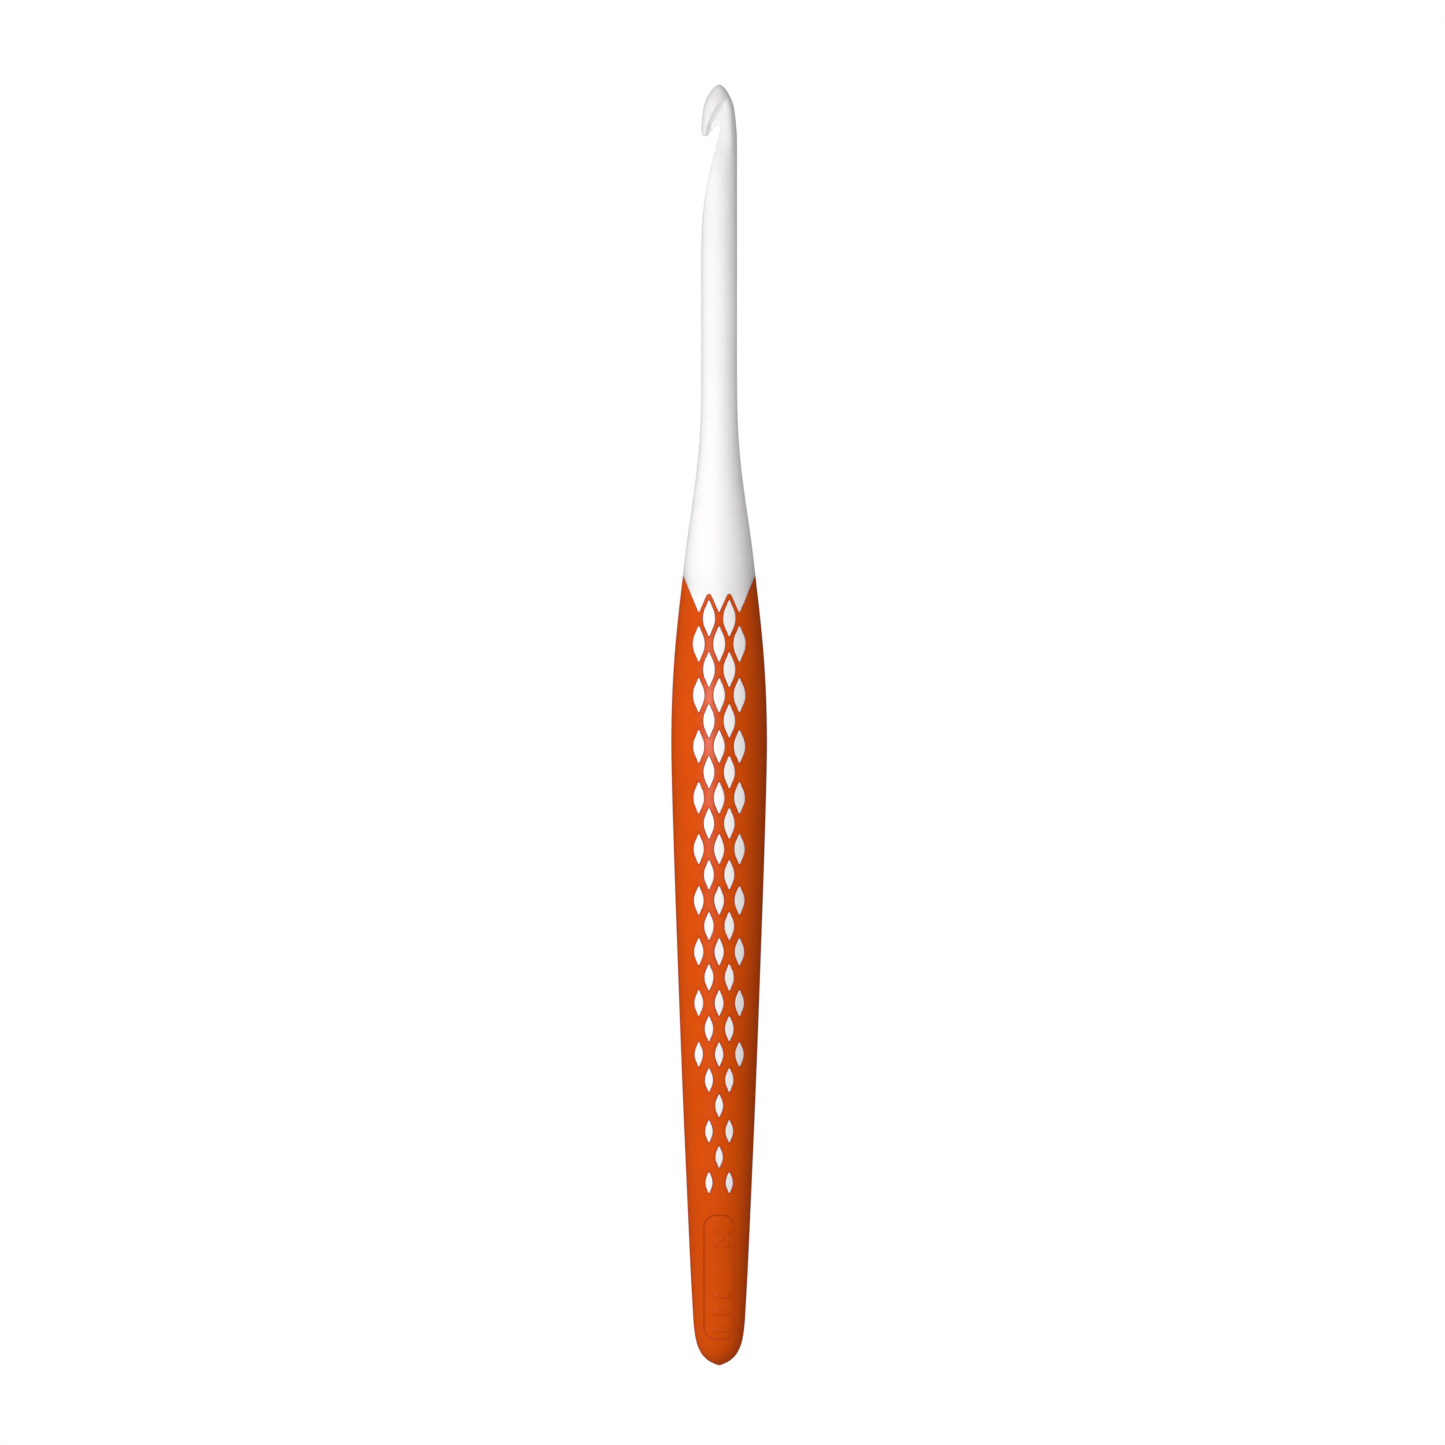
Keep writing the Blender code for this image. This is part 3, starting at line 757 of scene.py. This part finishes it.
def head_surface():
    """The head's surface as points (v, t, z) and quads; open at its rear end."""
    v = [-0.35]
    while v[-1] < 23.7:
        v.append(v[-1] + (0.07 if v[-1] < 8.6 else min(0.25, 0.07 + (v[-1] - 8.6) * 0.05)))
    xs = np.array(v)
    ys = np.arange(-2.68, 2.69, 0.086)
    zs = ys + 0.0117
    V, T, Z = np.meshgrid(xs, ys, zs, indexing="ij")
    field = head_field(V.ravel(), T.ravel(), Z.ravel()).reshape(V.shape)
    n = np.array(field.shape)
    total = np.zeros(tuple(n - 1) + (3,))
    number = np.zeros(tuple(n - 1))
    quads = []
    cell = np.arange(np.prod(n - 1)).reshape(tuple(n - 1))
    axes = (xs, ys, zs)
    for axis in range(3):
        lo = [slice(None)] * 3
        hi = [slice(None)] * 3
        lo[axis], hi[axis] = slice(0, -1), slice(1, None)
        f0, f1 = field[tuple(lo)], field[tuple(hi)]
        cross = (f0 < 0) != (f1 < 0)
        share = np.where(cross, f0 / np.where(cross, f0 - f1, 1.0), 0.0)
        position = [None] * 3
        for k in range(3):
            shape = [1, 1, 1]
            values = axes[k]
            if k == axis:
                shape[k] = len(values) - 1
                low, step = values[:-1].reshape(shape), np.diff(values).reshape(shape)
                position[k] = low + share * step
            else:
                shape[k] = len(values)
                position[k] = np.broadcast_to(values.reshape(shape), share.shape)
        a, b = [k for k in range(3) if k != axis]
        for da in (0, 1):
            for db in (0, 1):
                cut = [slice(None)] * 3
                cut[a] = slice(da, da + n[a] - 1)
                cut[b] = slice(db, db + n[b] - 1)
                cut = tuple(cut)
                number += cross[cut]
                for k in range(3):
                    total[..., k] += np.where(cross[cut], position[k][cut], 0.0)
        inner = [slice(None)] * 3
        inner[a], inner[b] = slice(1, n[a] - 1), slice(1, n[b] - 1)
        where = np.argwhere(cross[tuple(inner)])
        where[:, a] += 1
        where[:, b] += 1
        corner = []
        for da, db in ((1, 1), (0, 1), (0, 0), (1, 0)):
            c = where.copy()
            c[:, a] -= da
            c[:, b] -= db
            corner.append(cell[c[:, 0], c[:, 1], c[:, 2]])
        quads.append(np.stack(corner, 1))
    quads = np.vstack(quads)
    used = np.unique(quads)
    new = np.full(cell.size, -1)
    new[used] = np.arange(len(used))
    points = (total.reshape(-1, 3)[used]) / number.ravel()[used][:, None]
    ring = np.nonzero(used // ((n[1] - 1) * (n[2] - 1)) == n[0] - 2)[0]
    for _ in range(5):
        value = head_field(*points.T)
        grad = head_slope(points)
        move = value[:, None] * grad / np.maximum((grad**2).sum(1), 0.3)[:, None]
        size = np.linalg.norm(move, axis=1)
        move *= np.minimum(1.0, 0.06 / np.maximum(size, 1e-9))[:, None]
        points = points - move
    middle = (xs[-1] + xs[-2]) / 2
    points[ring, 0] = middle
    rho = np.hypot(points[ring, 1], points[ring, 2])
    points[ring, 1] *= 2.5 / rho
    points[ring, 2] *= 2.5 / rho
    grad = head_slope(points)
    grad /= np.linalg.norm(grad, axis=1)[:, None]
    # points that have run together are taken as one
    tree = kdtree.KDTree(len(points))
    for i, p in enumerate(points.tolist()):
        tree.insert(p, i)
    tree.balance()
    one = np.array([min(hit[1] for hit in tree.find_range(p, 0.004)) for p in points.tolist()])
    quads = one[new[quads]]
    twice = [(quads[:, a] == quads[:, b]) for a, b in ((0, 1), (1, 2), (2, 3), (3, 0))]
    split = twice[0] | twice[1] | twice[2] | twice[3] | (quads[:, 0] == quads[:, 2]) | (quads[:, 1] == quads[:, 3])
    corners = []
    for q in quads[split]:
        kept = [c for k, c in enumerate(q) if c != q[k - 1]]
        if len(kept) == 3 and len(set(kept)) == 3:
            corners.append(kept)
    return points, quads[~split], np.array(corners, int).reshape(-1, 3), grad, ring, middle


# ---------------------------------------------------------------- white_moulding: head, shaft, flare, core and windows
TUBE_ACROSS = 48


def moulding():
    g = Gather()
    u0, join = 3.6, 118.0
    # hidden surface under the sleeve
    base_rings = [offset(w, -0.03) for w in windows]
    base_edge = offset(wing, -0.03)
    iu, ip = half_outline(u0, ACROSS, 1.3, base_edge)
    in_loops = [flat(iu, ip)] + [flat(*r) for r in base_rings]
    in_field = clear_of(hexes(u0, 110.6, 1.3, QUARTER), in_loops, 0.55)
    in_tris = triangulate(in_loops, flat(*in_field))
    # the windows' tops
    top_rings = [offset(w, -INSET) for w in windows]
    top_loops = [flat(*r) for r in top_rings]
    top_field = clear_of(hexes(FIRST_ROW_U - ROW_PITCH * ROWS, 107.6, 0.36, 0.9), top_loops, 0.13)
    top_tris = triangulate(top_loops, flat(*top_field), True)
    # everything in front of the sleeve, as far as the flare
    top_edge = offset(wing, -0.07)
    row = np.linspace(-QUARTER, QUARTER, TUBE_ACROSS + 1)
    w0 = float(np.interp(top_edge[0][-1], grid_u, _along))
    w1 = float(np.interp(join, grid_u, _along))
    n = int(round((w1 - w0) / 0.36))
    column = unrolled_u(np.linspace(w0, w1, n + 1)[1:-1])
    fu = np.concatenate([top_edge[0], column, np.full(len(row), join), column[::-1]])
    fp = np.concatenate([top_edge[1], np.full(len(column), QUARTER), row[::-1], np.full(len(column), -QUARTER)])
    front_loop = [flat(fu, fp)]
    front_field = clear_of(hexes(105.0, join, 0.36, QUARTER), front_loop, 0.22)
    front_tris = triangulate(front_loop, flat(*front_field))

    for side in (1, -1):
        u = np.concatenate([iu] + [r[0] for r in base_rings] + [in_field[0]])
        phi = np.concatenate([ip] + [r[1] for r in base_rings] + [in_field[1]])
        index = g.add(place(u, both(phi, side), UNDER))
        g.tris.append(index[in_tris])
        columns_n = len(iu) - (ACROSS + 1) - len(base_edge[0])
        at = ACROSS + 1 + columns_n // 2
        base_edge_index = index[at:at + len(base_edge[0])][::-1]
        starts, base_index = len(iu), []
        for r in base_rings:
            base_index.append(index[starts:starts + len(r[0])])
            starts += len(r[0])

        u = np.concatenate([r[0] for r in top_rings] + [top_field[0]])
        phi = np.concatenate([r[1] for r in top_rings] + [top_field[1]])
        index = g.add(place(u, both(phi, side), -0.01), facing(u, both(phi, side)))
        g.tris.append(index[top_tris])
        starts, top_index = 0, []
        for r in top_rings:
            top_index.append(index[starts:starts + len(r[0])])
            starts += len(r[0])

        u = np.concatenate([fu, front_field[0]])
        phi = np.concatenate([fp, front_field[1]])
        index = g.add(place(u, both(phi, side)), facing(u, both(phi, side)))
        g.tris.append(index[front_tris])
        top_edge_index = index[:len(top_edge[0])]

        for outline, top, bottom, closed, low in [
            (w, a, b, True, -0.01) for w, a, b in zip(windows, top_index, base_index)
        ] + [(wing, top_edge_index, base_edge_index, False, 0.0)]:
            last = top
            # the third number is how much painted shade the ring gets: none at the top, full down in the gap
            for away, d, rim in ((-0.05, -0.010, 0.0), (-0.034, -0.04, 0.5), (-0.03, -0.12, 1.0)):
                ru, rp = offset(outline, away)
                ring = g.add(place(ru, both(rp, side), d + low), None, rim)
                g.strip(last, ring, closed)
                last = ring
            g.strip(last, bottom, closed)

    # rear end of the core, inside the sleeve
    phi = full_ring(ACROSS)
    last = g.add(place(np.full(len(phi), u0), phi, UNDER))
    for u in (2.8, 2.1, 1.6):
        ring = g.add(place(np.full(len(phi), u), phi, UNDER))
        g.strip(last, ring, True)
        last = ring
    pole = g.add([(g.points[-1][0, 0] - 0.1, 0.0, AXIS)])
    g.fan(last, pole[0])

    # flare and shaft
    points, quads, corners, normals, ring, middle = head_surface()
    end = LENGTH - middle - 0.35
    phi = full_ring(TUBE_ACROSS)
    last = g.add(place(np.full(len(phi), join), phi), facing(np.full(len(phi), join), phi))
    for u in np.linspace(join, end, 70)[1:]:
        at = np.full(len(phi), u)
        now = g.add(place(at, phi), facing(at, phi))
        g.strip(last, now, True)
        last = now

    # head
    world = np.stack([HALF - points[:, 0], points[:, 1], AXIS + points[:, 2]], 1)
    turned = np.stack([-normals[:, 0], normals[:, 1], normals[:, 2]], 1)
    index = g.add(world, turned)
    g.quads.append(index[quads])
    g.tris.append(index[corners])
    g.zip(last, phi % (2 * math.pi), index[ring], np.arctan2(points[ring, 1], points[ring, 2]) % (2 * math.pi))
    return g.make("white_moulding")


grip = sleeve()
white = moulding()


# ---------------------------------------------------------------- materials
def material(name):
    made = bpy.data.materials.new(name)
    made.use_nodes = True
    tree = made.node_tree
    tree.nodes.clear()
    out = tree.nodes.new("ShaderNodeOutputMaterial")
    shader = tree.nodes.new("ShaderNodeBsdfPrincipled")
    tree.links.new(shader.outputs["BSDF"], out.inputs["Surface"])
    place_node = tree.nodes.new("ShaderNodeTexCoord")
    return made, tree, shader, place_node


def noise(tree, coords, scale, detail, rough=0.5):
    node = tree.nodes.new("ShaderNodeTexNoise")
    node.inputs["Scale"].default_value = scale
    node.inputs["Detail"].default_value = detail
    node.inputs["Roughness"].default_value = rough
    tree.links.new(coords, node.inputs["Vector"])
    return node


def spread(tree, source, low, high, at=(0.3, 0.7)):
    node = tree.nodes.new("ShaderNodeMapRange")
    node.inputs["From Min"].default_value = at[0]
    node.inputs["From Max"].default_value = at[1]
    node.inputs["To Min"].default_value = low
    node.inputs["To Max"].default_value = high
    tree.links.new(source, node.inputs["Value"])
    return node


def mixed(tree, factor, a, b):
    node = tree.nodes.new("ShaderNodeMix")
    node.data_type = "RGBA"
    for socket, value in ((node.inputs[6], a), (node.inputs[7], b)):
        if isinstance(value, tuple):
            socket.default_value = (*value, 1.0)
        else:
            tree.links.new(value, socket)
    tree.links.new(factor, node.inputs[0])
    return node.outputs[2]


def bumped(tree, shader, heights):
    """Fine relief, from (socket, distance in metres, strength)."""
    last = None
    for source, distance, strength in heights:
        node = tree.nodes.new("ShaderNodeBump")
        node.inputs["Distance"].default_value = distance
        node.inputs["Strength"].default_value = strength
        tree.links.new(source, node.inputs["Height"])
        if last is not None:
            tree.links.new(last, node.inputs["Normal"])
        last = node.outputs["Normal"]
    tree.links.new(last, shader.inputs["Normal"])


def hard_white():
    """Glossy hard plastic: almost even, with faint flow clouds and a lightly worn sheen, and painted shade making the
    walls of the windows and of the front edge darker as they go down under the sleeve.
    """
    made, tree, shader, where = material("white_hard_plastic")
    coords = where.outputs["Object"]
    clouds = noise(tree, coords, 110.0, 2.0)
    grain = noise(tree, coords, 1500.0, 3.0, 0.6)
    colour = mixed(tree, spread(tree, clouds.outputs["Fac"], 0.0, 1.0).outputs[0], WHITE_A, WHITE_B)
    rim = tree.nodes.new("ShaderNodeAttribute")
    rim.attribute_name = "rim"
    # painted shade: the rim attribute mixes the walls towards a dull brown, darkest down in the gap under the sleeve
    wall_shade = spread(tree, rim.outputs["Fac"], 0.0, 0.75, (0.0, 1.0))
    colour = mixed(tree, wall_shade.outputs[0], colour, (0.62, 0.36, 0.25))
    tree.links.new(colour, shader.inputs["Base Color"])
    shine = spread(tree, grain.outputs["Fac"], 0.30, 0.40)
    tree.links.new(shine.outputs[0], shader.inputs["Roughness"])
    shader.inputs["IOR"].default_value = 1.5
    shader.inputs["Specular IOR Level"].default_value = 0.12
    # in front of the sleeve the bare plastic lets a little light through
    apart = tree.nodes.new("ShaderNodeSeparateXYZ")
    tree.links.new(coords, apart.inputs[0])
    bare = spread(tree, apart.outputs["X"], 0.0, 0.95, (0.0175, 0.0225))
    short = spread(tree, apart.outputs["X"], 1.0, 0.0, (0.060, 0.076))
    both_ways = tree.nodes.new("ShaderNodeMath")
    both_ways.operation = "MULTIPLY"
    tree.links.new(bare.outputs[0], both_ways.inputs[0])
    tree.links.new(short.outputs[0], both_ways.inputs[1])
    tree.links.new(both_ways.outputs[0], shader.inputs["Subsurface Weight"])
    shader.inputs["Subsurface Radius"].default_value = (1.0, 0.92, 0.92)
    shader.inputs["Subsurface Scale"].default_value = 0.0050
    bumped(tree, shader, [(clouds.outputs["Fac"], 0.0006, 0.04), (grain.outputs["Fac"], 0.00002, 0.25)])
    return made


def soft_orange():
    """Soft-touch rubber: finely eroded skin with a grainy dullness, and painted shade making it darker where it is
    deepest: down the walls of the windows and of the front edge, round the windows, at the panel's edge and at the
    marks' feet.
    """
    made, tree, shader, where = material("orange_soft_rubber")
    coords = where.outputs["Object"]
    clouds = noise(tree, coords, 90.0, 3.0)
    grain = noise(tree, coords, 3800.0, 2.0, 0.55)
    pores = tree.nodes.new("ShaderNodeTexVoronoi")
    pores.inputs["Scale"].default_value = 2600.0
    tree.links.new(coords, pores.inputs["Vector"])
    colour = mixed(tree, spread(tree, clouds.outputs["Fac"], 0.0, 1.0).outputs[0], ORANGE_A, ORANGE_B)
    rim = tree.nodes.new("ShaderNodeAttribute")
    rim.attribute_name = "rim"
    # painted shade: the rim attribute mixes the rubber towards a deep red down the walls, at the panel's edge and at
    # the marks' feet
    rubber_shade = spread(tree, rim.outputs["Fac"], 0.0, 0.8, (0.0, 1.0))
    colour = mixed(tree, rubber_shade.outputs[0], colour, (0.42, 0.035, 0.002))
    tree.links.new(colour, shader.inputs["Base Color"])
    dull = spread(tree, grain.outputs["Fac"], 0.30, 0.42)
    tree.links.new(dull.outputs[0], shader.inputs["Roughness"])
    shader.inputs["IOR"].default_value = 1.48
    shader.inputs["Specular IOR Level"].default_value = 0.05
    bumped(tree, shader, [
        (clouds.outputs["Fac"], 0.0004, 0.05),
        (pores.outputs["Distance"], 0.00003, 0.12),
        (grain.outputs["Fac"], 0.00003, 0.25),
    ])
    return made


WHITE_A, WHITE_B = (0.875, 0.853, 0.853), (0.895, 0.872, 0.870)
ORANGE_A, ORANGE_B = (0.655, 0.0705, 0.0005), (0.69, 0.0775, 0.0007)
white.data.materials.append(hard_white())
grip.data.materials.append(soft_orange())

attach(grip, "root")
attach(white, "root")
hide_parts("soft_grip")
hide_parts("hook_head", "hook_core")


# ---------------------------------------------------------------- floor, light and camera
def stage():
    mesh = bpy.data.meshes.new("studio_floor")
    a, z = 6.0, -0.0002
    mesh.from_pydata([(-a, -a, z), (a, -a, z), (a, a, z), (-a, a, z)], [], [(0, 1, 2, 3)])
    floor = bpy.data.objects.new("studio_floor", mesh)
    bpy.context.scene.collection.objects.link(floor)
    made = bpy.data.materials.new("studio_white")
    made.use_nodes = True
    tree = made.node_tree
    tree.nodes.clear()
    out = tree.nodes.new("ShaderNodeOutputMaterial")
    glow = tree.nodes.new("ShaderNodeEmission")
    glow.inputs["Color"].default_value = (1.0, 1.0, 1.0, 1.0)
    glow.inputs["Strength"].default_value = 1.0
    clear = tree.nodes.new("ShaderNodeBsdfTransparent")
    side = tree.nodes.new("ShaderNodeNewGeometry")
    mix = tree.nodes.new("ShaderNodeMixShader")
    tree.links.new(side.outputs["Backfacing"], mix.inputs["Fac"])
    tree.links.new(glow.outputs[0], mix.inputs[1])
    tree.links.new(clear.outputs[0], mix.inputs[2])
    tree.links.new(mix.outputs[0], out.inputs["Surface"])
    mesh.materials.append(made)
    floor.visible_diffuse = floor.visible_glossy = floor.visible_shadow = False


def studio():
    """Even white surroundings that are brighter on the throat's side, and one large soft lamp there."""
    world = bpy.data.worlds.new("studio")
    bpy.context.scene.world = world
    world.use_nodes = True
    tree = world.node_tree
    tree.nodes.clear()
    out = tree.nodes.new("ShaderNodeOutputWorld")
    where = tree.nodes.new("ShaderNodeTexCoord")
    dot = tree.nodes.new("ShaderNodeVectorMath")
    dot.operation = "DOT_PRODUCT"
    tilt = math.radians(32)
    dot.inputs[1].default_value = (-0.10, math.sin(tilt), math.cos(tilt))
    tree.links.new(where.outputs["Generated"], dot.inputs[0])
    level = tree.nodes.new("ShaderNodeMath")
    level.operation = "MULTIPLY_ADD"
    level.inputs[1].default_value = WORLD_SLOPE
    level.inputs[2].default_value = WORLD_LEVEL
    tree.links.new(dot.outputs["Value"], level.inputs[0])
    lit = tree.nodes.new("ShaderNodeBackground")
    lit.inputs["Color"].default_value = (1.0, 1.0, 1.0, 1.0)
    path = tree.nodes.new("ShaderNodeLightPath")
    tree.links.new(level.outputs[0], lit.inputs["Strength"])
    seen = tree.nodes.new("ShaderNodeBackground")
    seen.inputs["Color"].default_value = (1.0, 1.0, 1.0, 1.0)
    seen.inputs["Strength"].default_value = 1.0
    mix = tree.nodes.new("ShaderNodeMixShader")
    tree.links.new(path.outputs["Is Camera Ray"], mix.inputs["Fac"])
    tree.links.new(lit.outputs[0], mix.inputs[1])
    tree.links.new(seen.outputs[0], mix.inputs[2])
    tree.links.new(mix.outputs[0], out.inputs["Surface"])
    world.cycles_visibility.glossy = False
    world.cycles.sampling_method = "NONE"

    lamp = bpy.data.lights.new("key", "AREA")
    lamp.shape = "DISK"
    lamp.size = 0.15
    lamp.energy = KEY
    thing = bpy.data.objects.new("key", lamp)
    bpy.context.scene.collection.objects.link(thing)
    aim = Vector((0.012, 0.0, AXIS * MM))
    lean = math.radians(28)
    thing.location = aim + Vector((0.0, math.sin(lean), math.cos(lean))) * 0.24
    thing.rotation_euler = (aim - thing.location).to_track_quat("-Z", "Y").to_euler()
    thing.visible_glossy = False
    lamp = bpy.data.lights.new("sheen", "AREA")
    lamp.shape = "DISK"
    lamp.size = 0.024
    lamp.energy = SHEEN
    thing = bpy.data.objects.new("sheen", lamp)
    bpy.context.scene.collection.objects.link(thing)
    aim = Vector((0.004, 0.0, AXIS * MM))
    lean = math.radians(23)
    thing.location = aim + Vector((0.0, math.sin(lean), math.cos(lean))) * 0.11
    thing.rotation_euler = (aim - thing.location).to_track_quat("-Z", "Y").to_euler()
    thing.visible_diffuse = False


WORLD_LEVEL, WORLD_SLOPE = 0.48, 0.19
KEY = 0.325
SHEEN = 0.25
stage()
studio()

lens_data = bpy.data.cameras.new("camera")
lens_data.type = "ORTHO"
lens_data.ortho_scale = 0.2023
lens_data.clip_start = 0.01
lens_data.clip_end = 20.0
camera = bpy.data.objects.new("camera", lens_data)
bpy.context.scene.collection.objects.link(camera)
camera.location = (0.00034, -0.000469, 0.5)
camera.rotation_euler = (0.0, 0.0, -QUARTER)
bpy.context.scene.camera = camera

bpy.context.scene.view_settings.view_transform = "Standard"
bpy.context.scene.view_settings.look = "None"
bpy.context.scene.view_settings.exposure = 0.0
bpy.context.scene.view_settings.gamma = 1.0
